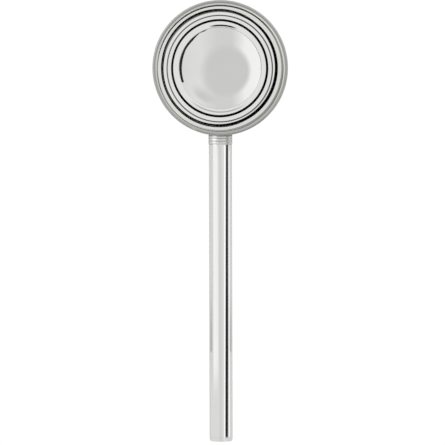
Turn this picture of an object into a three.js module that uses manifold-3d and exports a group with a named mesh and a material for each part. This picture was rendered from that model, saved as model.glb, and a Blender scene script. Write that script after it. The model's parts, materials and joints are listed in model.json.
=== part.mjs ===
// A soup ladle, put down on a table. Millimetres, +Z up, +Y from the handle's end towards the bowl.
// The bowl is a spun steel cup with a full round lip. A stud is welded to its outside, and a bush inside
// the hollow handle screws onto that stud, which clamps a reeded collar between the handle and the bowl.
// A soft washer closes the joint at the collar, and a cap with a seal ring closes the handle's far end.

import * as THREE from 'three';
import { mergeVertices } from 'three/addons/utils/BufferGeometryUtils.js';
import Module from 'manifold-3d';

// Bowl: the inside is part of a sphere, and its edge is rolled outwards into a round lip
const MOUTH_RADIUS = 43.7;
const CUP_DEPTH = 29.6;
const BOWL_WALL = 1.5;
const LIP_RADIUS = 1.7;

// Handle: a round tube, level with the bowl's mouth
const TUBE_RADIUS = 8;
const TUBE_WALL = 1;
const TUBE_LENGTH = 203;

// Collar: a cup with turned reeds, cut to sit on the bowl just below the lip
const COLLAR_REACH = 6; // out from under the lip
const COLLAR_DROP = 0.3; // from the lip's underside to the reeds
const COLLAR_WALL = 1.5;
const COLLAR_WEB = 2.5;
const REED_COUNT = 3;
const REED_PITCH = 2.1;
const REED_HEIGHT = 0.3;

// Stud, welded to the bowl inside the collar
const STUD_RADIUS = 4;
const STUD_REACH = 15; // past the collar's outer end
const STUD_CHAMFER = 1;
const FOOT_RECESS = 2; // from the foot's flat face to the inside of the collar's web

// Bush, fixed in the tube's front end, and the washer in front of it
const BUSH_LENGTH = 20;
const BUSH_CHAMFER = 0.8;
const WASHER_THICKNESS = 0.5;
const WASHER_INSET = 0.4; // below the tube's surface

// Cap with a rounded edge, and the seal ring round its spigot
const CAP_BAND = 0.25; // straight side before the edge starts to round
const CAP_EDGE_RISE = 2.5; // along the handle
const CAP_EDGE_INSET = 1.6; // across the handle
const SPIGOT_LENGTH = 10;
const SPIGOT_CHAMFER = 0.5;
const SEAL_SECTION = 1;
const SEAL_FROM_HEAD = 4;

// Clearances between pieces
const JOINT_GAP = 0.25;
const SADDLE_GAP = 0.3; // between the bowl and what is cut to its curve
const SEAL_GAP = 0.15;

// Facets
const BOWL_SIDES = 64;
const BOWL_RINGS = 12;
const LIP_STEPS = 10;
const HANDLE_SIDES = 32;
const REED_STEPS = 5;
const EDGE_STEPS = 6;
const SEAL_STEPS = 10;

const QUARTER = Math.PI / 2;
const HALF = Math.PI;

// The bowl's two spheres share a centre on its axis, above the mouth's plane.
const cupRadius = (MOUTH_RADIUS ** 2 + CUP_DEPTH ** 2) / (2 * CUP_DEPTH);
const cupRise = cupRadius - CUP_DEPTH;
const outerRadius = cupRadius + BOWL_WALL;

// The lip is a circle in the bowl's profile that carries on from the inside without a crease, so its
// middle lies on a line from the spheres' centre through the mouth's edge.
const lipSpan = cupRadius + LIP_RADIUS;
const lipOut = lipSpan * MOUTH_RADIUS / cupRadius; // its middle, from the bowl's axis
const lipDrop = lipSpan * cupRise / cupRadius - cupRise; // its middle, below the mouth's plane
const lipEdge = lipOut + LIP_RADIUS;

// The handle's axis lies below the mouth's plane, and places along it are distances from the bowl's axis.
const handleDrop = lipDrop + LIP_RADIUS + COLLAR_DROP + REED_HEIGHT + TUBE_RADIUS;
const collarEnd = lipEdge + COLLAR_REACH;
const tubeStart = collarEnd + WASHER_THICKNESS + 2 * JOINT_GAP;
const capStart = tubeStart + TUBE_LENGTH + JOINT_GAP;
const capEnd = capStart + CAP_BAND + CAP_EDGE_RISE;
const tubeBore = TUBE_RADIUS - TUBE_WALL;
const plugRadius = tubeBore - JOINT_GAP; // bush and spigot
const studHole = STUD_RADIUS + JOINT_GAP;

// The seal ring lies between the floor of a groove in the cap's spigot and the tube's bore.
const sealRadius = tubeBore - SEAL_GAP - SEAL_SECTION / 2;
const sealMiddle = capStart - SEAL_FROM_HEAD;

const wasm = await Module();
wasm.setup();

const polishedSteel = new THREE.MeshStandardMaterial({ color: 0xdcdcda, roughness: 0.08, metalness: 1 });
const turnedSteel = new THREE.MeshStandardMaterial({ color: 0xb4b5b3, roughness: 0.4, metalness: 1 });
const silicone = new THREE.MeshStandardMaterial({ color: 0xc9c9c4, roughness: 0.7, metalness: 0 });

// Points on part of an ellipse in a profile, where x is the radius and y runs along the axis.
function arc(x, y, radiusX, radiusY, from, to, steps) {
  const clockwise = to < from;
  return new THREE.EllipseCurve(x, y, radiusX, radiusY, from, to, clockwise).getPoints(steps);
}

function point(x, y) {
  return new THREE.Vector2(x, y);
}

// A profile from axis to axis, turned about Y.
function turned(profile, sides) {
  return new THREE.LatheGeometry(profile, sides);
}

// A turned piece with a hole through it: the profile comes back to its first point.
function turnedRing(profile, sides) {
  return turned([...profile, profile[0].clone()], sides);
}

// A closed geometry as a solid: shared corners merged, triangles that closed up at a pole left out.
function toSolid(geometry) {
  const bare = geometry.clone();
  bare.deleteAttribute('normal');
  bare.deleteAttribute('uv');
  const merged = mergeVertices(bare);
  const corners = merged.index.array;
  const kept = [];
  for (let i = 0; i < corners.length; i += 3) {
    const [a, b, c] = corners.slice(i, i + 3);
    if (a !== b && b !== c && c !== a) {
      kept.push(a, b, c);
    }
  }
  const vertProperties = new Float32Array(merged.attributes.position.array);
  const triVerts = new Uint32Array(kept);
  return new wasm.Manifold(new wasm.Mesh({ numProp: 3, vertProperties, triVerts }));
}

function toGeometry(solid) {
  const mesh = solid.getMesh();
  const geometry = new THREE.BufferGeometry();
  geometry.setAttribute('position', new THREE.BufferAttribute(mesh.vertProperties, 3));
  geometry.setIndex(new THREE.BufferAttribute(mesh.triVerts, 1));
  geometry.computeVertexNormals();
  return geometry;
}

// Cuts a piece on the handle's axis to the bowl's outside, which lies above that axis.
function cutToBowl(blank) {
  const ball = new THREE.SphereGeometry(outerRadius + SADDLE_GAP, BOWL_SIDES, BOWL_SIDES / 2);
  ball.translate(0, 0, cupRise + handleDrop);
  return toGeometry(toSolid(blank).subtract(toSolid(ball)));
}

// The bowl's outside runs up to the round lip, and the lip runs down into the inside. The lip starts where
// its circle meets the outer sphere, and ends on the side that faces the spheres' centre.
function bowlGeometry() {
  const lipEnd = Math.atan2(cupRise + lipDrop, -lipOut);
  const cosine = (lipSpan ** 2 + LIP_RADIUS ** 2 - outerRadius ** 2) / (2 * lipSpan * LIP_RADIUS);
  const lipStart = lipEnd + Math.acos(cosine) - 2 * HALF;
  const lip = arc(lipOut, -lipDrop, LIP_RADIUS, LIP_RADIUS, lipStart, lipEnd, LIP_STEPS);
  const outerEnd = Math.atan2(lip[0].y - cupRise, lip[0].x);
  const innerEnd = Math.asin(-cupRise / cupRadius);
  const outside = arc(0, cupRise, outerRadius, outerRadius, -QUARTER, outerEnd, BOWL_RINGS);
  const inside = arc(0, cupRise, cupRadius, cupRadius, innerEnd, -QUARTER, BOWL_RINGS);
  const profile = [...outside.slice(0, -1), ...lip, ...inside.slice(1)];
  return turned(profile, BOWL_SIDES).rotateX(QUARTER);
}

// A plain pin on a foot that is cut to the bowl and welded there.
function neckStudGeometry() {
  const footRadius = TUBE_RADIUS - COLLAR_WALL - JOINT_GAP;
  const footFace = collarEnd - COLLAR_WEB - FOOT_RECESS;
  const tip = collarEnd + STUD_REACH;
  const blank = turned([
    point(0, 0),
    point(footRadius, 0),
    point(footRadius, footFace),
    point(STUD_RADIUS, footFace),
    point(STUD_RADIUS, tip - STUD_CHAMFER),
    point(STUD_RADIUS - STUD_CHAMFER, tip),
    point(0, tip),
  ], HANDLE_SIDES);
  return cutToBowl(blank);
}

// A cup over the stud's foot, with half-round reeds up to its outer end.
function collarGeometry() {
  const bore = TUBE_RADIUS - COLLAR_WALL;
  const web = collarEnd - COLLAR_WEB;
  const outside = [point(TUBE_RADIUS, 0)];
  for (let reed = REED_COUNT; reed > 0; reed -= 1) {
    const middle = collarEnd - (reed - 0.5) * REED_PITCH;
    const round = arc(TUBE_RADIUS, middle, REED_HEIGHT, REED_PITCH / 2, -QUARTER, QUARTER, REED_STEPS);
    outside.push(...(reed === REED_COUNT ? round : round.slice(1)));
  }
  const blank = turnedRing([
    ...outside,
    point(studHole, collarEnd),
    point(studHole, web),
    point(bore, web),
    point(bore, 0),
  ], HANDLE_SIDES);
  return cutToBowl(blank);
}

function sealWasherGeometry() {
  const front = collarEnd + JOINT_GAP;
  const back = front + WASHER_THICKNESS;
  const edge = TUBE_RADIUS - WASHER_INSET;
  return turnedRing([
    point(studHole, front),
    point(edge, front),
    point(edge, back),
    point(studHole, back),
  ], HANDLE_SIDES);
}

function frontBushGeometry() {
  const back = tubeStart + BUSH_LENGTH;
  return turnedRing([
    point(studHole, tubeStart),
    point(plugRadius, tubeStart),
    point(plugRadius, back - BUSH_CHAMFER),
    point(plugRadius - BUSH_CHAMFER, back),
    point(studHole, back),
  ], HANDLE_SIDES);
}

function handleTubeGeometry() {
  const back = tubeStart + TUBE_LENGTH;
  return turnedRing([
    point(tubeBore, tubeStart),
    point(TUBE_RADIUS, tubeStart),
    point(TUBE_RADIUS, back),
    point(tubeBore, back),
  ], HANDLE_SIDES);
}

// A spigot with a groove for the seal ring, and a head whose edge rounds over to the flat end.
function endCapGeometry() {
  const tip = capStart - SPIGOT_LENGTH;
  const grooveFloor = sealRadius - SEAL_SECTION / 2 - SEAL_GAP;
  const grooveHalf = SEAL_SECTION / 2 + JOINT_GAP;
  const flat = TUBE_RADIUS - CAP_EDGE_INSET;
  const edgeStart = capStart + CAP_BAND;
  const edge = arc(flat, edgeStart, CAP_EDGE_INSET, CAP_EDGE_RISE, 0, QUARTER, EDGE_STEPS);
  return turned([
    point(0, tip),
    point(plugRadius - SPIGOT_CHAMFER, tip),
    point(plugRadius, tip + SPIGOT_CHAMFER),
    point(plugRadius, sealMiddle - grooveHalf),
    point(grooveFloor, sealMiddle - grooveHalf),
    point(grooveFloor, sealMiddle + grooveHalf),
    point(plugRadius, sealMiddle + grooveHalf),
    point(plugRadius, capStart),
    point(TUBE_RADIUS, capStart),
    ...edge,
    point(0, capEnd),
  ], HANDLE_SIDES);
}

function capSealGeometry() {
  const half = SEAL_SECTION / 2;
  const section = arc(sealRadius, sealMiddle, half, half, 0, 2 * HALF, SEAL_STEPS);
  return turnedRing(section.slice(0, -1), HANDLE_SIDES);
}

function piece(name, geometry, material) {
  const mesh = new THREE.Mesh(geometry, material.clone());
  mesh.name = name;
  return mesh;
}

// The handle's group turns the pieces' Y axis round to point away from the bowl.
const handle = new THREE.Group();
handle.position.z = -handleDrop;
handle.rotation.z = HALF;
handle.add(
  piece('neck_stud', neckStudGeometry(), turnedSteel),
  piece('collar', collarGeometry(), polishedSteel),
  piece('seal_washer', sealWasherGeometry(), silicone),
  piece('front_bush', frontBushGeometry(), turnedSteel),
  piece('handle_tube', handleTubeGeometry(), polishedSteel),
  piece('end_cap', endCapGeometry(), polishedSteel),
  piece('cap_seal', capSealGeometry(), silicone),
);

const ladle = new THREE.Group();
ladle.add(piece('bowl', bowlGeometry(), polishedSteel), handle);

// Put down, the ladle touches the table with the bowl's belly and with the cap's lower edge. The table is
// the common tangent of the outer sphere and of that edge, so it sets the tilt.
function restTilt() {
  const run = capEnd - CAP_EDGE_RISE;
  const rise = cupRise + handleDrop + TUBE_RADIUS - CAP_EDGE_INSET;
  const slope = Math.atan2(rise, run);
  return Math.asin((outerRadius - CAP_EDGE_INSET) / Math.hypot(run, rise)) - slope;
}

// The origin is on the table, under the middle of the ladle's length.
ladle.rotation.x = restTilt();
const box = new THREE.Box3().setFromObject(ladle, true);
ladle.position.y = -(box.min.y + box.max.y) / 2;
ladle.position.z = -box.min.z;

const soupLadle = new THREE.Group();
soupLadle.add(ladle);

export default soupLadle;
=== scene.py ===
"""Looks of a soup ladle: a mirror-polished bowl with a rolled lip, a reeded collar and a hollow handle.

Each piece is worked out in millimetres in the ladle's own frame. Its origin is the middle of the bowl's
mouth, +Z is the bowl's axis and the handle runs along -Y. placed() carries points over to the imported
model's frame, in metres, and the studio stands in that frame too.
"""

import json
import math

import bmesh
import bpy
import numpy as np
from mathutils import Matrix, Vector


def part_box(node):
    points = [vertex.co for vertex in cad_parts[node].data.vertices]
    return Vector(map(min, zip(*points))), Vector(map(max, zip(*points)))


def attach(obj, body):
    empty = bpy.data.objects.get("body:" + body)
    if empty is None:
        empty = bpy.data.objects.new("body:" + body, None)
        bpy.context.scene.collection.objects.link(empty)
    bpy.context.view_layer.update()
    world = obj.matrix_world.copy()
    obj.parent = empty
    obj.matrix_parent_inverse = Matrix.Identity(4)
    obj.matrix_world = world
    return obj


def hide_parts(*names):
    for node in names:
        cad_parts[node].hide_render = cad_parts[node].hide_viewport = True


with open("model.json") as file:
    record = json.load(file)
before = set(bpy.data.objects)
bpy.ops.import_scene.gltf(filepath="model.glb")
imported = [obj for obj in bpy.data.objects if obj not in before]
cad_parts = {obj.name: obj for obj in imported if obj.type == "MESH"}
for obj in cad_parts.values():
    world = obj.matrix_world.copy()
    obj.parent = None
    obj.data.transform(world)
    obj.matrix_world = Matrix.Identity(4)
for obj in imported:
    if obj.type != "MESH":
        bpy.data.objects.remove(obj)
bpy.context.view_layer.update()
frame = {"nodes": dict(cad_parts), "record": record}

MM = 0.001
QUARTER = math.pi / 2

# Bowl
MOUTH_RADIUS = 43.7
CUP_DEPTH = 29.6
BOWL_WALL = 1.5
LIP_RADIUS = 1.7

# Handle
TUBE_RADIUS = 8.0
TUBE_BORE = 7.0
TUBE_LENGTH = 203.0

# Collar
COLLAR_REACH = 6.0  # out from under the lip
COLLAR_DROP = 0.3  # from the lip's underside to the reeds
COLLAR_BORE = 6.5
COLLAR_WEB = 2.5
STUD_HOLE = 4.25
REED_COUNT = 3
REED_PITCH = 2.1
REED_HEIGHT = 0.3
SOLDER = 0.5  # radius of the fillet between the collar and the bowl

# Washer, in the joint between collar and tube
JOINT = 1.0  # between the solids of the collar and the tube
SQUEEZED = 0.35  # the washer when the handle is screwed tight
WASHER_EDGE = 7.72

# End cap
CAP_SEAM = 0.03
CAP_GAP = 0.25  # between the solids of the tube and the cap
CAP_BAND = 0.25
CAP_EDGE_RISE = 2.5
CAP_EDGE_INSET = 1.0
SPIGOT_RADIUS = 6.75
SPIGOT_LENGTH = 10.0
SEAL_FLOOR = 5.7
SEAL_FROM_HEAD = 4.0
SEAL_HALF = 0.75

# Broken edges
WASHER_ROUND = 0.15
WASHER_HOLD = 0.02
SEAM_ROUND = 0.05  # at the tube's ends and the cap
SEAM_HOLD = 0.4

# Steps of the surfaces
BOWL_SIDES = 256
BOWL_RINGS = 110
LIP_RINGS = 40
HANDLE_SIDES = 160
REED_RINGS = 17
EDGE_RINGS = 7
CAP_EDGE_RINGS = 24
CAP_FACE_RINGS = 9
SAME_POINT = 1e-7  # metres between points that become one

# The bowl's two spheres share a centre on its axis. The lip is a circle in the bowl's profile that carries
# on from the inside without a crease, so its middle lies on a line from that centre through the mouth's
# edge.
cup_radius = (MOUTH_RADIUS**2 + CUP_DEPTH**2) / (2 * CUP_DEPTH)
cup_rise = cup_radius - CUP_DEPTH
outer_radius = cup_radius + BOWL_WALL
lip_span = cup_radius + LIP_RADIUS
lip_out = lip_span * MOUTH_RADIUS / cup_radius
lip_drop = lip_span * cup_rise / cup_radius - cup_rise
lip_edge = lip_out + LIP_RADIUS

# Places along the handle are distances from the bowl's axis.
handle_drop = lip_drop + LIP_RADIUS + COLLAR_DROP + REED_HEIGHT + TUBE_RADIUS
collar_end = lip_edge + COLLAR_REACH
tube_start = collar_end + JOINT
cap_start = tube_start + TUBE_LENGTH + CAP_GAP
cap_end = cap_start + CAP_BAND + CAP_EDGE_RISE

# The flat end of the handle, from the record, says where the ladle lies and how far it tips.
end_face = next(mount for mount in frame["record"]["mounts"] if mount["name"] == "handle_end")
towards_bowl = -np.array(end_face["axis"]) / np.linalg.norm(end_face["axis"])
tip = math.atan2(towards_bowl[2], towards_bowl[1])
above = np.array([0.0, -math.sin(tip), math.cos(tip)])
mouth = np.array(end_face["pos_m"]) + MM * (cap_end * towards_bowl + handle_drop * above)


def placed(points):
    """Ladle's millimetres to the model's metres: mouth + x across + y towards the bowl + z above."""
    axes = np.stack([[1.0, 0.0, 0.0], towards_bowl, above])
    return mouth + MM * points @ axes


# Shapes

def arc(centre, radii, start, stop, count):
    """Points centre + (radius_1 cos a, radius_2 sin a), with a in even steps from start to stop."""
    a = np.linspace(start, stop, count)
    return np.stack([centre[0] + radii[0] * np.cos(a), centre[1] + radii[1] * np.sin(a)], axis=-1)


def eased(corners, reach, hold, steps=5):
    """A closed outline whose corners are broken: a parabola (1-t)^2 a + 2t(1-t) corner + t^2 b takes each
    corner's place, between points a and b that lie reach away from it on its two sides. A point that lies
    hold further on each side keeps the long sides straight to the light."""
    corners = np.array(corners)

    def beside(turn, distance):
        way = np.roll(corners, turn, axis=0) - corners
        return (corners + distance * way / np.linalg.norm(way, axis=1, keepdims=True))[:, None]

    t = np.linspace(0, 1, steps)[:, None]
    curves = (1 - t)**2 * beside(1, reach) + 2 * t * (1 - t) * corners[:, None] + t**2 * beside(-1, reach)
    outline = np.hstack([beside(1, reach + hold), curves, beside(-1, reach + hold)]).reshape(-1, 2)
    return np.vstack([outline, outline[:1]])


def turned(profile, sides):
    """Rings about the Z axis: the profile's point (r, s) at angle a becomes (r sin a, r cos a, s)."""
    a = np.linspace(0, 2 * math.pi, sides, endpoint=False)
    r, s = profile[:, :1], profile[:, 1:]
    return np.stack([r * np.sin(a), r * np.cos(a), s + 0 * a], axis=-1)


def on_handle(rings):
    """Rings about the Z axis, turned onto the handle's axis: (x, y, s) becomes (x, -s, y - drop)."""
    x, y, s = np.moveaxis(rings, -1, 0)
    return np.stack([x, -s, y - handle_drop], axis=-1)


def piece(node, rings, material):
    """The closed surface that joins each ring to the next, which stands for the solid of that name. Points
    that fall together, at a pole or where a profile comes back to its start, become one."""
    count, sides = rings.shape[:2]
    here = np.arange(count * sides).reshape(count, sides)
    beside = np.roll(here, -1, axis=1)
    quads = np.stack([here[:-1], here[1:], beside[1:], beside[:-1]], axis=-1).reshape(-1, 4)
    mesh = bpy.data.meshes.new(node + "_skin")
    mesh.from_pydata(placed(rings.reshape(-1, 3)).tolist(), [], quads.tolist())
    shell = bmesh.new()
    shell.from_mesh(mesh)
    bmesh.ops.remove_doubles(shell, verts=shell.verts, dist=SAME_POINT)
    shell.to_mesh(mesh)
    shell.free()
    mesh.shade_smooth()
    mesh.materials.append(material)
    skin = bpy.data.objects.new(node + "_skin", mesh)
    bpy.context.collection.objects.link(skin)
    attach(skin, "root")
    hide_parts(node)


def bowl_rings():
    """Up the outer sphere from the belly, round the lip's circle and down the inner sphere. The lip starts
    where its circle meets the outer sphere, and ends on the side that faces the spheres' centre."""
    lip_end = math.atan2(cup_rise + lip_drop, -lip_out)
    cosine = (lip_span**2 + LIP_RADIUS**2 - outer_radius**2) / (2 * lip_span * LIP_RADIUS)
    lip_start = lip_end + math.acos(cosine) - 2 * math.pi
    lip = arc((lip_out, -lip_drop), (LIP_RADIUS, LIP_RADIUS), lip_start, lip_end, LIP_RINGS)
    outer_end = math.atan2(lip[0, 1] - cup_rise, lip[0, 0])
    inner_end = math.asin(-cup_rise / cup_radius)
    outside = arc((0, cup_rise), (outer_radius, outer_radius), -QUARTER, outer_end, BOWL_RINGS)
    inside = arc((0, cup_rise), (cup_radius, cup_radius), inner_end, -QUARTER, BOWL_RINGS)
    profile = np.vstack([outside[:-1], lip, inside[1:]])
    profile[[0, -1], 0] = 0
    return turned(profile, BOWL_SIDES)


def collar_rings():
    """A solder fillet that starts on the bowl's outer sphere, a plain neck, half-round reeds, the end face,
    and the bore back to the bowl. At radius r and angle a from the top, the sphere lies at the distance
    sqrt(outer^2 - (r sin a)^2 - (r cos a - drop - rise)^2) along the handle."""
    a = np.linspace(0, 2 * math.pi, HANDLE_SIDES, endpoint=False)

    def on_bowl(r):
        height = r * np.cos(a) - handle_drop - cup_rise
        return np.sqrt(outer_radius**2 - (r * np.sin(a))**2 - height**2)

    bend = np.linspace(0, QUARTER, EDGE_RINGS)[:, None]
    fillet_r = TUBE_RADIUS + SOLDER * (1 - np.sin(bend))
    fillet_s = on_bowl(fillet_r) + SOLDER * (1 - np.cos(bend))
    middles = collar_end - REED_PITCH * (np.arange(REED_COUNT)[::-1] + 0.5)
    half = REED_PITCH / 2
    reeds = [arc((TUBE_RADIUS, m), (REED_HEIGHT, half), -QUARTER, QUARTER, REED_RINGS) for m in middles]
    web = collar_end - COLLAR_WEB
    inside = [(STUD_HOLE, collar_end), (STUD_HOLE, web), (COLLAR_BORE, web)]
    turned_part = np.vstack([*reeds, inside])
    r = np.vstack([fillet_r, turned_part[:, :1], [[COLLAR_BORE]], fillet_r[:1]])
    s = np.vstack([fillet_s, turned_part[:, 1:] + 0 * a, on_bowl(r[-2:])])
    return on_handle(np.stack([r * np.sin(a), r * np.cos(a), s], axis=-1))


def washer_rings():
    """A flat ring that is squeezed between collar and tube, with its edge pressed round."""
    front, back = collar_end, collar_end + SQUEEZED
    corners = [(WASHER_EDGE, front), (WASHER_EDGE, back), (STUD_HOLE, back), (STUD_HOLE, front)]
    return on_handle(turned(eased(corners, WASHER_ROUND, WASHER_HOLD), HANDLE_SIDES))


def tube_rings():
    """A straight tube with broken edges, from the squeezed washer to a fine seam at the cap."""
    front, back = collar_end + SQUEEZED, cap_start - CAP_SEAM
    corners = [(TUBE_RADIUS, front), (TUBE_RADIUS, back), (TUBE_BORE, back), (TUBE_BORE, front)]
    return on_handle(turned(eased(corners, SEAM_ROUND, SEAM_HOLD), HANDLE_SIDES))


def cap_rings():
    """A spigot with a groove for the seal ring, and a head whose edge is a quarter of an ellipse."""
    seal = cap_start - SEAL_FROM_HEAD
    start = cap_start - SPIGOT_LENGTH
    spigot = [
        (0, start),
        (SPIGOT_RADIUS, start),
        (SPIGOT_RADIUS, seal - SEAL_HALF),
        (SEAL_FLOOR, seal - SEAL_HALF),
        (SEAL_FLOOR, seal + SEAL_HALF),
        (SPIGOT_RADIUS, seal + SEAL_HALF),
        (SPIGOT_RADIUS, cap_start),
    ]
    middle = (TUBE_RADIUS - SEAM_ROUND, cap_start + SEAM_ROUND)
    rim = arc(middle, (SEAM_ROUND, SEAM_ROUND), -QUARTER, 0, EDGE_RINGS)
    flat = TUBE_RADIUS - CAP_EDGE_INSET
    edge = arc((flat, cap_start + CAP_BAND), (CAP_EDGE_INSET, CAP_EDGE_RISE), 0, QUARTER, CAP_EDGE_RINGS)
    face = np.stack([np.linspace(flat, 0, CAP_FACE_RINGS), np.full(CAP_FACE_RINGS, cap_end)], axis=-1)
    return on_handle(turned(np.vstack([spigot, rim, edge, face[1:]]), HANDLE_SIDES))


# Materials

EASED = {"interpolation_type": "SMOOTHSTEP"}  # for a Map Range node: 0 value, 1 and 2 from, 3 and 4 to
COLOURS = {"data_type": "RGBA"}  # for a Mix node: 0 share, 6 and 7 colours


def linear(hex_colour):
    """An sRGB hex colour as linear RGBA: c/12.92 below 0.04045, else ((c + 0.055)/1.055)^2.4."""
    c = np.array([int(hex_colour[i:i + 2], 16) for i in (1, 3, 5)]) / 255
    c = np.where(c <= 0.04045, c / 12.92, ((c + 0.055) / 1.055)**2.4)
    return (*c.tolist(), 1.0)


def add(tree, kind, inputs=None, **settings):
    """One node: settings are its attributes, and each input is a value or another node's output."""
    node = tree.nodes.new(kind)
    for name, value in settings.items():
        setattr(node, name, value)
    for name, value in (inputs or {}).items():
        if isinstance(value, bpy.types.NodeSocket):
            tree.links.new(value, node.inputs[name])
        else:
            node.inputs[name].default_value = value
    return node


def blank(name):
    """A new material with an empty node tree."""
    material = bpy.data.materials.new(name)
    material.use_nodes = True
    material.node_tree.nodes.clear()
    return material, material.node_tree


def ladle_mm(tree):
    """Where a point lies in the ladle's own frame, in millimetres."""
    own = add(tree, "ShaderNodeTexCoord").outputs["Object"]
    turn = {"Vector": own, "Location": mouth, "Rotation": (tip, 0, 0), "Scale": (MM, MM, MM)}
    return add(tree, "ShaderNodeMapping", turn, vector_type="TEXTURE").outputs[0]


def grain(tree, where, size, detail):
    """Noise from 0 to 1 whose grains measure about size = (x, y, z) millimetres."""
    cells = add(tree, "ShaderNodeVectorMath", {0: where, 1: size}, operation="DIVIDE").outputs[0]
    return add(tree, "ShaderNodeTexNoise", {"Vector": cells, "Scale": 1.0, "Detail": detail}).outputs[0]


def disc(tree, where, middle, radius, soft):
    """1 inside a radius about a middle and 0 outside it, in millimetres. Its edge is 2 soft wide."""
    apart = add(tree, "ShaderNodeVectorMath", {0: where, 1: (*middle, 0)}, operation="DISTANCE")
    fall = {0: apart.outputs["Value"], 1: radius - soft, 2: radius + soft, 3: 1.0, 4: 0.0}
    return add(tree, "ShaderNodeMapRange", fall, **EASED).outputs[0]


def ring(tree, where, middle, inner, outer, soft):
    """1 between two radii about a middle and 0 elsewhere, in millimetres, with edges like a disc's."""
    whole = disc(tree, where, middle, outer, soft)
    hole = disc(tree, where, middle, inner, soft)
    return add(tree, "ShaderNodeMath", {0: whole, 1: hole}, operation="SUBTRACT").outputs[0]


def finish_steel(tree, colour, roughness, marks, depth):
    """Bare steel with the marks that its making left, depth metres deep."""
    bump = add(tree, "ShaderNodeBump", {"Height": marks, "Strength": 1.0, "Distance": depth})
    steel = add(tree, "ShaderNodeBsdfPrincipled", {
        "Base Color": colour,
        "Metallic": 1.0,
        "Roughness": roughness,
        "Normal": bump.outputs[0],
    })
    add(tree, "ShaderNodeOutputMaterial", {0: steel.outputs[0]})


def mirror_polished_spun_steel():
    """Stainless sheet, spun over a former, rolled over at the lip and buffed as it turns. The eye gets a
    clean mirror with a trace of rings round the axis, a faint haze from wiping, a rougher lip that the
    wheel only brushes, painted shade that greys the lip and is darkest on its crown, a painted dark line
    of shade in its crease towards the handle, and a scuffed patch where the belly is put down."""
    material, tree = blank("mirror_polished_spun_steel")
    where = ladle_mm(tree)
    part = add(tree, "ShaderNodeSeparateXYZ", {0: where}).outputs
    flat = add(tree, "ShaderNodeVectorMath", {0: where, 1: (1, 1, 0)}, operation="MULTIPLY").outputs[0]
    radius = add(tree, "ShaderNodeVectorMath", {0: flat}, operation="LENGTH").outputs["Value"]
    # Buffing marks are 0.05 mm apart, and are drawn 1.2 mm apart so that they show.
    spun = add(tree, "ShaderNodeCombineXYZ", {0: part[0], 1: part[1], 2: radius}).outputs[0]
    marks = grain(tree, spun, (60, 60, 1.2), 2.0)
    haze = grain(tree, where, (14, 14, 14), 3.0)
    scuffs = grain(tree, where, (0.25, 4, 0.25), 4.0)

    # The belly is scuffed up to 1.2 mm above its lowest point.
    bottom = cup_rise - outer_radius
    low = add(tree, "ShaderNodeMapRange", {0: part[2], 1: bottom, 2: bottom + 1.2, 3: 1.0, 4: 0.0}, **EASED)
    deep = add(tree, "ShaderNodeMapRange", {0: scuffs, 1: 0.45, 2: 0.7}, **EASED)
    worn = add(tree, "ShaderNodeMath", {0: low.outputs[0], 1: deep.outputs[0]}, operation="MULTIPLY")

    # The brush takes the lip from just inside its middle and makes it rougher. Painted shade greys the lip,
    # and darkens it most just outside its middle.
    brushed = {0: radius, 1: lip_out - 0.75, 2: lip_out - 0.35}
    lip = add(tree, "ShaderNodeMapRange", brushed, **EASED).outputs[0]
    crown = ring(tree, flat, (0, -0.4), lip_out, lip_out + 1.0, 0.3)

    # Painted shade: a dark line on the mouth's edge, on the handle's half of it, and not below the edge.
    behind = add(tree, "ShaderNodeMapRange", {0: part[1], 1: -15, 2: 15, 3: 1.0, 4: 0.0}, **EASED)
    top = add(tree, "ShaderNodeMapRange", {0: part[2], 1: -2.0, 2: -1.0}, **EASED)
    reach = add(tree, "ShaderNodeMath", {0: behind.outputs[0], 1: top.outputs[0]}, operation="MULTIPLY")
    edge = ring(tree, flat, (0, -0.45), MOUTH_RADIUS - 0.3, MOUTH_RADIUS + 0.3, 0.2)
    painted_dark_line = add(tree, "ShaderNodeMath", {0: edge, 1: reach.outputs[0]}, operation="MULTIPLY").outputs[0]

    wiped = add(tree, "ShaderNodeMapRange", {0: haze, 1: 0.3, 2: 0.75, 3: 0.015, 4: 0.035}, **EASED)
    scratched = {0: worn.outputs[0], 1: 0.3, 2: wiped.outputs[0]}
    inside = add(tree, "ShaderNodeMath", scratched, operation="MULTIPLY_ADD").outputs[0]
    rough = add(tree, "ShaderNodeMath", {0: lip, 1: 0.18, 2: inside}, operation="MULTIPLY_ADD").outputs[0]
    clean = {0: haze, 6: linear("#f9f9f6"), 7: linear("#f4f4f1")}
    steel = add(tree, "ShaderNodeMix", clean, **COLOURS).outputs[2]
    # Painted shade: the dark line in the crease, the grey lip and its darker crown.
    for share, colour in ((painted_dark_line, "#8c8c88"), (lip, "#cececb"), (crown, "#b0b0ac")):
        steel = add(tree, "ShaderNodeMix", {0: share, 6: steel, 7: linear(colour)}, **COLOURS).outputs[2]
    finish_steel(tree, steel, rough, marks, 0.5e-6)
    return material


def mirror_polished_drawn_steel():
    """Stainless tube and bar, drawn and then buffed along its length. The eye gets a clean mirror with a
    trace of straight lines, and a faint haze where hands hold it."""
    material, tree = blank("mirror_polished_drawn_steel")
    where = ladle_mm(tree)
    # Buffing lines are 0.05 mm wide, and are drawn 0.8 mm wide so that they show.
    lines = grain(tree, where, (0.8, 70, 0.8), 2.0)
    haze = grain(tree, where, (9, 22, 9), 3.0)
    rough = add(tree, "ShaderNodeMapRange", {0: haze, 1: 0.3, 2: 0.75, 3: 0.04, 4: 0.09}, **EASED)
    steel = add(tree, "ShaderNodeMix", {0: haze, 6: linear("#f9f9f8"), 7: linear("#f4f4f3")}, **COLOURS)
    finish_steel(tree, steel.outputs[2], rough.outputs[0], lines, 1.0e-6)
    return material


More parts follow.
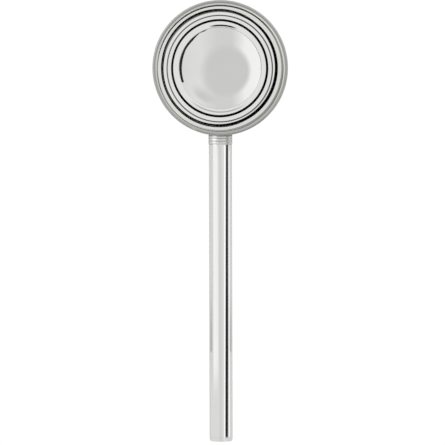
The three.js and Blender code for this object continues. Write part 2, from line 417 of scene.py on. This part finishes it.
def brushed_reeded_steel():
    """Stainless bar, turned with reeds and brushed over their crowns. The eye gets soft grey crowns, and
    rougher valleys and a rougher band along the bowl that the brush misses, darkened by painted shade."""
    material, tree = blank("brushed_reeded_steel")
    where = ladle_mm(tree)
    part = add(tree, "ShaderNodeSeparateXYZ", {0: where}).outputs
    across = {0: where, 1: (1, 0, 1), 2: (0, 0, handle_drop)}
    from_axis = add(tree, "ShaderNodeVectorMath", across, operation="MULTIPLY_ADD").outputs[0]
    radius = add(tree, "ShaderNodeVectorMath", {0: from_axis}, operation="LENGTH").outputs["Value"]
    # Turning marks are 0.1 mm apart, and are drawn 0.3 mm apart so that they show.
    marks = grain(tree, where, (20, 0.3, 20), 2.0)
    # The brush reaches halfway down a reed, and to 1.2 mm from the bowl's lip. Where it doesn't, the steel
    # is rougher and painted shade darkens it.
    halfway = TUBE_RADIUS + REED_HEIGHT / 2
    sunk = {0: radius, 1: TUBE_RADIUS, 2: halfway, 3: 1.0, 4: 0.0}
    valley = add(tree, "ShaderNodeMapRange", sunk, **EASED)
    by_bowl = add(tree, "ShaderNodeMapRange", {0: part[1], 1: -lip_edge - 1.2, 2: -lip_edge}, **EASED)
    missed_and_shaded = {0: valley.outputs[0], 1: by_bowl.outputs[0]}
    dull = add(tree, "ShaderNodeMath", missed_and_shaded, operation="MAXIMUM").outputs[0]
    rough = add(tree, "ShaderNodeMapRange", {0: dull, 3: 0.38, 4: 0.48}, **EASED)
    # Painted shade: the valleys and the band along the bowl are a darker grey.
    steel = add(tree, "ShaderNodeMix", {0: dull, 6: linear("#e4e4e1"), 7: linear("#a6a6a2")}, **COLOURS)
    finish_steel(tree, steel.outputs[2], rough.outputs[0], marks, 2.0e-6)
    return material


def lathe_turned_steel():
    """Stainless bar, turned and left as it came off the tool. The eye gets fine rings along the axis."""
    material, tree = blank("lathe_turned_steel")
    where = ladle_mm(tree)
    rings = grain(tree, where, (20, 0.2, 20), 3.0)
    rough = add(tree, "ShaderNodeMapRange", {0: rings, 1: 0.3, 2: 0.7, 3: 0.28, 4: 0.45}, **EASED)
    steel = add(tree, "ShaderNodeMix", {0: rings, 6: linear("#c6c7c4"), 7: linear("#aeafac")}, **COLOURS)
    finish_steel(tree, steel.outputs[2], rough.outputs[0], rings, 8.0e-6)
    return material


def moulded_silicone():
    """Food-grade silicone, pressed in a blasted mould. The eye gets a soft grey with a fine tooth."""
    material, tree = blank("moulded_silicone")
    where = ladle_mm(tree)
    tooth = grain(tree, where, (0.15, 0.15, 0.15), 2.0)
    cloud = grain(tree, where, (5, 5, 5), 2.0)
    milk = add(tree, "ShaderNodeMix", {0: cloud, 6: linear("#959592"), 7: linear("#8a8a87")}, **COLOURS)
    rough = add(tree, "ShaderNodeMapRange", {0: tooth, 1: 0.3, 2: 0.7, 3: 0.5, 4: 0.65}, **EASED)
    bump = add(tree, "ShaderNodeBump", {"Height": tooth, "Strength": 1.0, "Distance": 6.0e-6})
    rubber = add(tree, "ShaderNodeBsdfPrincipled", {
        "Base Color": milk.outputs[2],
        "Roughness": rough.outputs[0],
        "IOR": 1.41,
        "Normal": bump.outputs[0],
    })
    add(tree, "ShaderNodeOutputMaterial", {0: rubber.outputs[0]})
    return material


# Studio

PICTURE = 445  # pixels along each side
HANDLE_PIXELS = 23.0  # the handle's width in the picture
PIXEL = 2 * TUBE_RADIUS / HANDLE_PIXELS  # millimetres at the handle
CENTRE = (1.32, -0.8)  # where the picture's middle lies on the ladle, in millimetres
CAMERA_HEIGHT = 4000.0  # millimetres
ROLL = -0.145  # degrees
SENSOR = 36.0
TENT_WHITE = "#f0f1f3"  # the tent's walls after two mirrors or more
FLOOR_HALF = 8.0  # metres
OVERHEAD_HEIGHT = 0.09  # metres
OVERHEAD_HALF = 0.6  # metres

camera_place = MM * np.array([*CENTRE, CAMERA_HEIGHT])
ball_centre = mouth + MM * cup_rise * above  # the middle of the bowl's spheres


def photo_camera():
    """Looks straight down, from so far that the view is nearly parallel."""
    data = bpy.data.cameras.new("camera")
    low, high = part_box("handle_tube")
    distance = camera_place[2] - (low[2] + high[2]) / 2
    data.sensor_width = SENSOR
    data.lens = SENSOR * distance / (PICTURE * PIXEL * MM)
    camera = bpy.data.objects.new("camera", data)
    camera.location = camera_place
    camera.rotation_euler = (0, 0, math.radians(ROLL))
    bpy.context.collection.objects.link(camera)
    bpy.context.scene.camera = camera


def tent():
    """A light tent with white walls. They are brightest low on the left, and a grey strip runs overhead
    along the handle. Where the bowl mirrors twice or more, the tent is plain white."""
    world = bpy.data.worlds.new("tent")
    bpy.context.scene.world = world
    world.use_nodes = True
    tree = world.node_tree
    tree.nodes.clear()
    way = add(tree, "ShaderNodeTexCoord").outputs["Generated"]
    path = add(tree, "ShaderNodeLightPath").outputs

    # The walls go by the lean to the side, atan(x / (z + |y|)), from -90 to 90 degrees.
    part = add(tree, "ShaderNodeSeparateXYZ", {0: way}).outputs
    along = add(tree, "ShaderNodeMath", {0: part[1]}, operation="ABSOLUTE").outputs[0]
    rise = add(tree, "ShaderNodeMath", {0: part[2], 1: along}).outputs[0]
    lean = add(tree, "ShaderNodeMath", {0: part[0], 1: rise}, operation="ARCTAN2").outputs[0]
    turn = {0: lean, 1: 1 / math.pi, 2: 0.5}
    share = add(tree, "ShaderNodeMath", turn, operation="MULTIPLY_ADD").outputs[0]
    walls = add(tree, "ShaderNodeValToRGB", {0: share})
    stops = [
        (-90, "#dbdbdb"),
        (-66, "#fbfbfb"),
        (-30, "#f6f6f6"),
        (-13, "#d6d6d6"),
        (3, "#d6d6d6"),
        (24, "#e4e4e4"),
        (90, "#dbdbdb"),
    ]
    elements = walls.color_ramp.elements
    while len(elements) < len(stops):
        elements.new(0.5)
    for element, (degrees, colour) in zip(elements, stops):
        element.position = degrees / 180 + 0.5
        element.color = linear(colour)

    # The ray depth here is 1 straight from the camera, 2 after one mirror and 3 after two.
    twice = add(tree, "ShaderNodeMath", {0: path["Ray Depth"], 1: 2.5}, operation="GREATER_THAN").outputs[0]
    seen = walls.outputs[0]
    for cover, colour in ((twice, linear(TENT_WHITE)), (path["Is Camera Ray"], (1, 1, 1, 1))):
        seen = add(tree, "ShaderNodeMix", {0: cover, 6: seen, 7: colour}, **COLOURS).outputs[2]
    light = add(tree, "ShaderNodeBackground", {0: seen})
    add(tree, "ShaderNodeOutputWorld", {0: light.outputs[0]})


def stage_mesh(name, points, material, faces=((0, 1, 2, 3),)):
    """A plain object of the studio, which isn't part of the ladle: one face with four corners, or more."""
    mesh = bpy.data.meshes.new(name)
    mesh.from_pydata(points, [], faces)
    mesh.materials.append(material)
    thing = bpy.data.objects.new(name, mesh)
    bpy.context.collection.objects.link(thing)
    return thing


def hung_card(name, points, material, **faces):
    """A card of the studio that only the steel sees."""
    material.cycles.emission_sampling = "NONE"
    card = stage_mesh(name, points, material, **faces)
    card.visible_camera = False
    card.visible_diffuse = False
    card.visible_shadow = False


def level(x, y, half, height):
    """Corners of a square that lies level, and faces up."""
    return [
        (x - half, y - half, height),
        (x + half, y - half, height),
        (x + half, y + half, height),
        (x - half, y + half, height),
    ]


def upright(x, back, front, low, high):
    """Corners of a card that stands along the handle."""
    return [(x, back, low), (x, front, low), (x, front, high), (x, back, high)]


def floor():
    """White acrylic, lit from below until it is just white to the camera. The steel mirrors it as a pale
    grey, and it isn't there from below."""
    material, tree = blank("white_acrylic")
    looked_at = add(tree, "ShaderNodeLightPath").outputs["Is Camera Ray"]
    below = add(tree, "ShaderNodeNewGeometry").outputs["Backfacing"]
    mirrored = add(tree, "ShaderNodeBsdfDiffuse", {0: linear("#7f7f7e")}).outputs[0]
    lit = add(tree, "ShaderNodeEmission", {0: (1, 1, 1, 1), 1: 1.02}).outputs[0]
    clear = add(tree, "ShaderNodeBsdfTransparent").outputs[0]
    top = add(tree, "ShaderNodeMixShader", {0: looked_at, 1: mirrored, 2: lit}).outputs[0]
    sheet = add(tree, "ShaderNodeMixShader", {0: below, 1: top, 2: clear}).outputs[0]
    add(tree, "ShaderNodeOutputMaterial", {0: sheet})
    material.cycles.emission_sampling = "NONE"
    stage_mesh("acrylic", level(0, 0, FLOOR_HALF, 0), material)


def paint(tree, cover, colour, strength=1.0):
    """Paint that glows in its colour where cover is 1, and isn't there where cover is 0."""
    clear = add(tree, "ShaderNodeBsdfTransparent").outputs[0]
    glow = add(tree, "ShaderNodeEmission", {0: colour, 1: strength}).outputs[0]
    sheet = add(tree, "ShaderNodeMixShader", {0: cover, 1: clear, 2: glow}).outputs[0]
    add(tree, "ShaderNodeOutputMaterial", {0: sheet})


def side(tree, where, degrees, start, stop):
    """Goes from 0 to 1 as a place on a level card goes from start to stop towards one side: 0 degrees is to
    the right, and -90 is along the handle."""
    angle = math.radians(degrees)
    way = {0: where, 1: (math.cos(angle), math.sin(angle), 0)}
    reach = add(tree, "ShaderNodeVectorMath", way, operation="DOT_PRODUCT").outputs["Value"]
    return add(tree, "ShaderNodeMapRange", {0: reach, 1: start, 2: stop}, **EASED).outputs[0]


def overhead_card():
    """A sheet over the bowl, with its pattern in millimetres from the bowl's axis. Mirrored once, it is
    clear but for two soft grey rounds. Mirrored twice, it is white with the dark ring of the camera's lens,
    a short dark bow and a soft shade inside that, a thin grey ring, and a wide black one whose inner part is
    grey towards the handle and the right. Mirrored a third time, it is white with a dark spot and a rim that
    is dark towards the handle, and after that it is grey."""
    material, tree = blank("overhead_card")
    own = add(tree, "ShaderNodeTexCoord").outputs["Object"]
    shift = {"Vector": own, "Location": (*ball_centre[:2], OVERHEAD_HEIGHT), "Scale": (MM, MM, MM)}
    where = add(tree, "ShaderNodeMapping", shift, vector_type="TEXTURE").outputs[0]
    outwards = add(tree, "ShaderNodeVectorMath", {0: where}, operation="NORMALIZE").outputs[0]
    slimmer, taller, narrowed = (
        add(tree, "ShaderNodeVectorMath", {0: where, 1: scale}, operation="MULTIPLY").outputs[0]
        for scale in ((1.06, 1, 1), (1.048, 0.98, 1), (1.25, 1, 1))
    )
    white, grey, black = linear(TENT_WHITE), linear("#7c7c7a"), linear("#050505")

    # Mirrored once
    middle_round = disc(tree, slimmer, (-25.2, 9), 64.9, 19)
    side_round = disc(tree, where, (56, 92), 34, 28)
    rounds = add(tree, "ShaderNodeMath", {0: middle_round, 1: side_round}, operation="MAXIMUM").outputs[0]

    # Mirrored twice: the lens, the thin ring, and the bow and the shade within them
    lens = ring(tree, taller, (2.3, -2.0), 27.5, 37.0, 0.5)
    thin = ring(tree, taller, (3.2, -0.1), 55, 64, 2)
    bow_side = side(tree, outwards, -94, 0.945, 0.99)
    bow_ring = ring(tree, where, (0, -1.1), 11.8, 17.0, 0.7)
    bow = add(tree, "ShaderNodeMath", {0: bow_side, 1: bow_ring}, operation="MULTIPLY").outputs[0]
    shade_side = side(tree, outwards, 86, 0.7, 0.95)
    shade_ring = ring(tree, where, (0, -1.1), 14.5, 19.0, 1.2)
    shade = add(tree, "ShaderNodeMath", {0: shade_side, 1: shade_ring}, operation="MULTIPLY").outputs[0]

    # Mirrored twice: the wide ring, round an oval hole that lies askew
    oval = (11.8, -6.9)
    askew = add(tree, "ShaderNodeMapping", {
        "Vector": where,
        "Location": (*oval, 0),
        "Rotation": (0, 0, math.radians(-30)),
        "Scale": (0.945, 1.05, 1),
    }, vector_type="TEXTURE").outputs[0]
    hole = disc(tree, askew, (0, 0), 87, 2.5)
    whole = disc(tree, where, (31.5, -16.5), 147.5, 3)
    far_right = side(tree, where, 20, 85, 105)
    longer = add(tree, "ShaderNodeMath", {0: whole, 1: far_right}, operation="MAXIMUM").outputs[0]
    wide = add(tree, "ShaderNodeMath", {0: longer, 1: hole}, operation="SUBTRACT").outputs[0]
    by_handle = side(tree, outwards, -62, 0.62, 0.76)
    inner_part = disc(tree, where, oval, 104, 4)
    faded = add(tree, "ShaderNodeMath", {0: by_handle, 1: inner_part}, operation="MULTIPLY").outputs[0]
    wide_colour = add(tree, "ShaderNodeMix", {0: faded, 6: black, 7: grey}, **COLOURS).outputs[2]

    # Mirrored three times: the spot and the rim, which starts nearer at the upper left
    spot = disc(tree, narrowed, (9.4, -4.0), 43.3, 0.7)
    even_rim = ring(tree, where, (0.5, 0.5), 82, 400, 3)
    near_rim = ring(tree, where, (21.3, -14.8), 85, 400, 4)
    rim = add(tree, "ShaderNodeMath", {0: even_rim, 1: near_rim}, operation="MAXIMUM").outputs[0]
    dark = side(tree, outwards, -75, 0.2, 0.65)
    rim_colour = add(tree, "ShaderNodeMix", {0: dark, 6: linear("#9e9e9e"), 7: black}, **COLOURS).outputs[2]

    def layered(layers):
        """White with each layer's colour over it where its cover is 1."""
        result = white
        for cover, colour in layers:
            result = add(tree, "ShaderNodeMix", {0: cover, 6: result, 7: colour}, **COLOURS).outputs[2]
        return result

    twice = layered([
        (shade, linear("#b8b8b6")),
        (lens, black),
        (bow, black),
        (thin, linear("#5c5c5a")),
        (wide, wide_colour),
    ])
    thrice = layered([(rim, rim_colour), (spot, black)])

    # The ray depth here is 1 after one mirror, 2 after two and so on.
    depth = add(tree, "ShaderNodeLightPath").outputs["Ray Depth"]
    colour, cover = linear("#cfcfcf"), rounds
    for mirrors, pattern in ((2, twice), (3, thrice), (4, linear("#808080"))):
        past = add(tree, "ShaderNodeMath", {0: depth, 1: mirrors - 0.5}, operation="GREATER_THAN").outputs[0]
        colour = add(tree, "ShaderNodeMix", {0: past, 6: colour, 7: pattern}, **COLOURS).outputs[2]
        cover = add(tree, "ShaderNodeMath", {0: past, 1: cover}, operation="MAXIMUM").outputs[0]
    paint(tree, cover, colour)
    hung_card("overhead_card", level(*ball_centre[:2], OVERHEAD_HALF, OVERHEAD_HEIGHT), material)


def ranged_paint(name, colour, strength, nearest, furthest):
    """Paint that only steel from nearest to furthest metres away sees."""
    material, tree = blank(name)
    away = add(tree, "ShaderNodeLightPath").outputs["Ray Length"]
    past = add(tree, "ShaderNodeMath", {0: away, 1: nearest}, operation="GREATER_THAN").outputs[0]
    short = add(tree, "ShaderNodeMath", {0: away, 1: furthest}, operation="LESS_THAN").outputs[0]
    seen = add(tree, "ShaderNodeMath", {0: past, 1: short}, operation="MULTIPLY").outputs[0]
    paint(tree, seen, linear(colour), strength)
    return material


def faded_paint(name, colour, clear, full):
    """Paint that thickens along the handle, from nothing at y = clear to its full colour at y = full."""
    material, tree = blank(name)
    own = add(tree, "ShaderNodeTexCoord").outputs["Object"]
    along = add(tree, "ShaderNodeSeparateXYZ", {0: own}).outputs[1]
    fade = {0: along, 1: full, 2: clear, 3: 1.0, 4: 0.0}
    cover = add(tree, "ShaderNodeMapRange", fade, **EASED).outputs[0]
    paint(tree, cover, linear(colour))
    return material


def black_cards():
    """A black card that stands along the ladle's right side and rises towards the handle's end, and a strip
    that helps it near the bowl. Steel nearer than 45 mm doesn't see the card."""
    # Each row is a place along y with the card's lower and upper edge there, in metres.
    tall = [
        (0.128, 0.0310, 0.0447),
        (0.106, 0.0310, 0.0433),
        (0.071, 0.0310, 0.0437),
        (0.044, 0.0310, 0.0495),
        (0.0, 0.0308, 0.0520),
        (-0.0357, 0.0303, 0.0640),
        (-0.0902, 0.0286, 0.0695),
        (-0.1557, 0.0310, 0.0740),
        (-0.1597, 0.0600, 0.0743),
    ]
    small = [(0.053, 0.0280, 0.0345), (-0.035, 0.0260, 0.0338)]
    for name, x, rows, nearest in (("black_card", 0.06, tall, 0.045), ("black_strip", 0.02, small, 0.0)):
        points = [(x, y, z) for y, low, high in rows for z in (low, high)]
        faces = [(2 * i, 2 * i + 2, 2 * i + 3, 2 * i + 1) for i in range(len(rows) - 1)]
        black = ranged_paint(name, "#282828", strength=1.0, nearest=nearest, furthest=1.0)
        hung_card(name, points, black, faces=faces)


def grey_cards():
    """A grey card that stands on the left of the handle's end and dulls the bright wall there, and two that
    lie beside the handle and shade its sides down to the middle of its lower half."""
    card_front = -0.0975
    dull = faded_paint("grey_card", "#e0e0df", clear=card_front, full=-0.131)
    hung_card("grey_card", upright(-0.03, back=-0.2, front=card_front, low=0.0, high=0.075), dull)
    height, shade_front = 0.0005, -0.04
    for name, sign in (("left_shade", -1), ("right_shade", 1)):
        near, far = 0.02 * sign, 0.14 * sign
        corners = ((near, -0.0917), (far, -0.0975), (far, shade_front), (near, shade_front))
        points = [(x, y, height) for x, y in corners]
        hung_card(name, points, faded_paint(name, "#bababa", clear=shade_front, full=-0.088))


def white_cards():
    """Two strips that draw a bright line along the handle on each side of the dark one, and a card that
    lights the collar's left."""
    # Each row is a name, the card's x, back, front, low and high, its strength and the range that sees it.
    rows = [
        ("high_strip", (0.03, -0.159, 0.0503, 0.047, 0.06), 1.1, (0.0, 0.06)),
        ("low_strip", (0.1, -0.1585, 0.047, 0.001, 0.016), 1.15, (0.0, 0.15)),
        ("collar_card", (-0.022, 0.0532, 0.0625, 0.0288, 0.0494), 2.0, (0.012, 0.035)),
    ]
    for name, place, strength, (nearest, furthest) in rows:
        hung_card(name, upright(*place), ranged_paint(name, "#ffffff", strength, nearest, furthest))


def overhead_light():
    """A wide soft light above the acrylic, which the steel doesn't mirror."""
    data = bpy.data.lights.new("overhead", "AREA")
    data.shape = "DISK"
    data.size = 3.0
    data.energy = 150.0
    light = bpy.data.objects.new("overhead", data)
    light.location = (0, 0, 2.0)
    light.visible_glossy = False
    light.visible_camera = False
    bpy.context.collection.objects.link(light)


def studio():
    """The camera, the light tent, the acrylic and the cards. The steel may mirror itself ten times."""
    scene = bpy.context.scene
    scene.view_settings.view_transform = "Standard"
    scene.cycles.glossy_bounces = 10
    scene.cycles.max_bounces = 12
    scene.render.filter_size = 1.0
    photo_camera()
    tent()
    floor()
    overhead_card()
    black_cards()
    grey_cards()
    white_cards()
    overhead_light()


def ladle():
    """Skins for the five pieces that show, and materials for all eight."""
    spun = mirror_polished_spun_steel()
    drawn = mirror_polished_drawn_steel()
    reeded = brushed_reeded_steel()
    silicone = moulded_silicone()
    lathe = lathe_turned_steel()
    piece("bowl", bowl_rings(), spun)
    piece("collar", collar_rings(), reeded)
    piece("seal_washer", washer_rings(), silicone)
    piece("handle_tube", tube_rings(), drawn)
    piece("end_cap", cap_rings(), drawn)
    for node, material in (("neck_stud", lathe), ("front_bush", lathe), ("cap_seal", silicone)):
        for place in frame["nodes"][node].material_slots:
            place.material = material


ladle()
studio()
